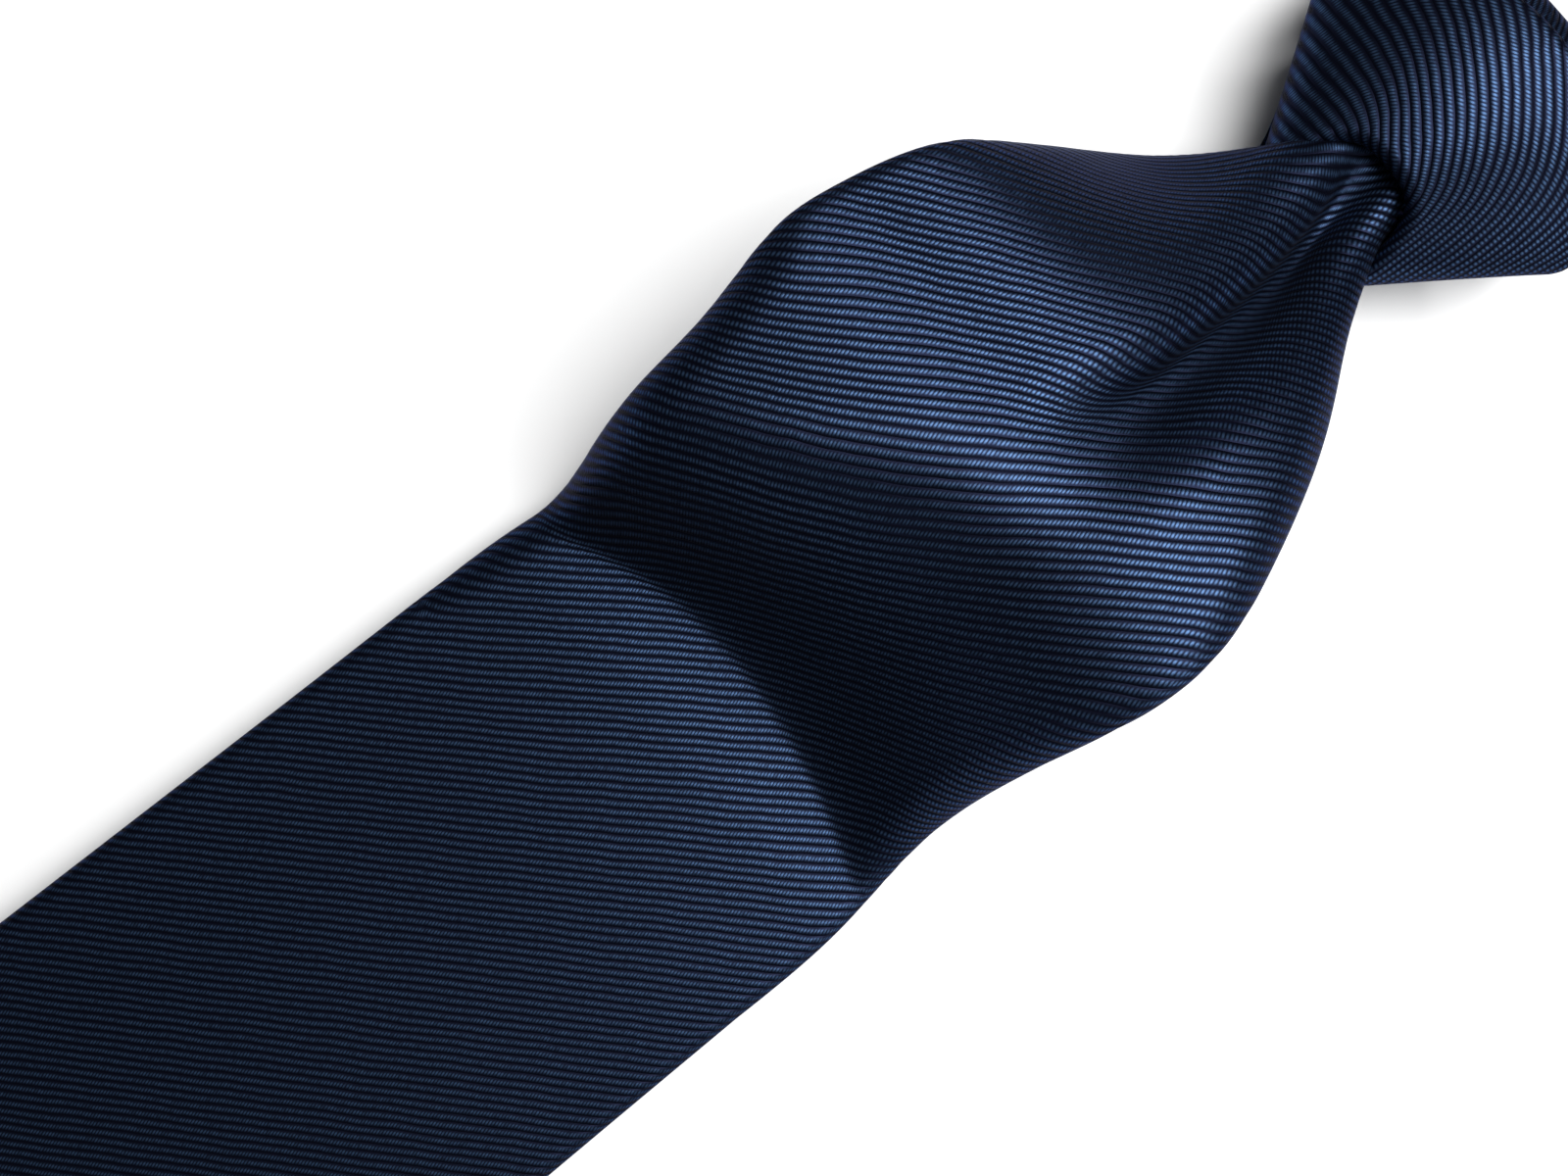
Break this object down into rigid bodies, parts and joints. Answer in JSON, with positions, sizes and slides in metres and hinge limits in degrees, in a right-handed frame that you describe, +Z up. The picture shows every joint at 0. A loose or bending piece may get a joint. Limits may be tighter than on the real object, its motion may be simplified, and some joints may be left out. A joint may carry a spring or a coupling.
{
  "type": "necktie",
  "caption": "Navy ribbed silk necktie, tied in a four-in-hand knot with a dimple, open neck loop, pointed front blade and narrow rear tail, lying face up.",
  "frame": {"origin": "bottom centre of the whole tie's box, on the surface that it lies on", "axes": "+X across the tie, +Y up the tie towards the knot and the neck loop, +Z up, out of the tie's face"},
  "size_m": [0.1104, 0.6736, 0.0364],
  "materials": {
    "silk": "bias-cut ribbed silk with a soft sheen",
    "interlining": "brushed wool",
    "tipping": "smooth satin lining",
    "thread": "twisted sewing thread",
    "label": "blank woven satin tape"
  },
  "bodies": {
    "root": {"knot_front_wrap": "silk", "knot_rear_wrap": "silk", "knot_first_cross": "silk", "knot_up_pass": "silk", "blade_throat": "silk", "neck_band_root_right": "silk", "neck_band_root_left": "silk"},
    "blade": {"blade_shell": "silk", "blade_interlining": "interlining", "blade_tipping": "tipping", "blade_slip_stitch": "thread", "blade_bar_tack": "thread", "keeper_loop": "silk", "keeper_tacks": "thread", "care_label": "label"},
    "tail": {"tail_shell": "silk", "tail_interlining": "interlining", "tail_tipping": "tipping", "tail_slip_stitch": "thread", "tail_bar_tack": "thread"},
    "neck_loop": {"neck_band_right": "silk", "neck_band_left": "silk", "neck_band_back": "silk", "neck_seam_right": "silk", "neck_seam_left": "silk", "neck_interlining": "interlining"}
  },
  "joints": [
    {"name": "blade_lift", "type": "hinge", "parent": "root", "child": "blade", "pos_m": [0, 0.1382, 0.0133], "axis": [-1, 0, 0], "range_deg": [0, 75]},
    {"name": "neck_loop_lift", "type": "hinge", "parent": "root", "child": "neck_loop", "pos_m": [0, 0.1784, 0.008], "axis": [1, 0, 0], "range_deg": [0, 85]},
    {"name": "tail_slide", "type": "slide", "parent": "root", "child": "tail", "axis": [0, -1, 0], "range_m": [0, 0.02]}
  ]
}
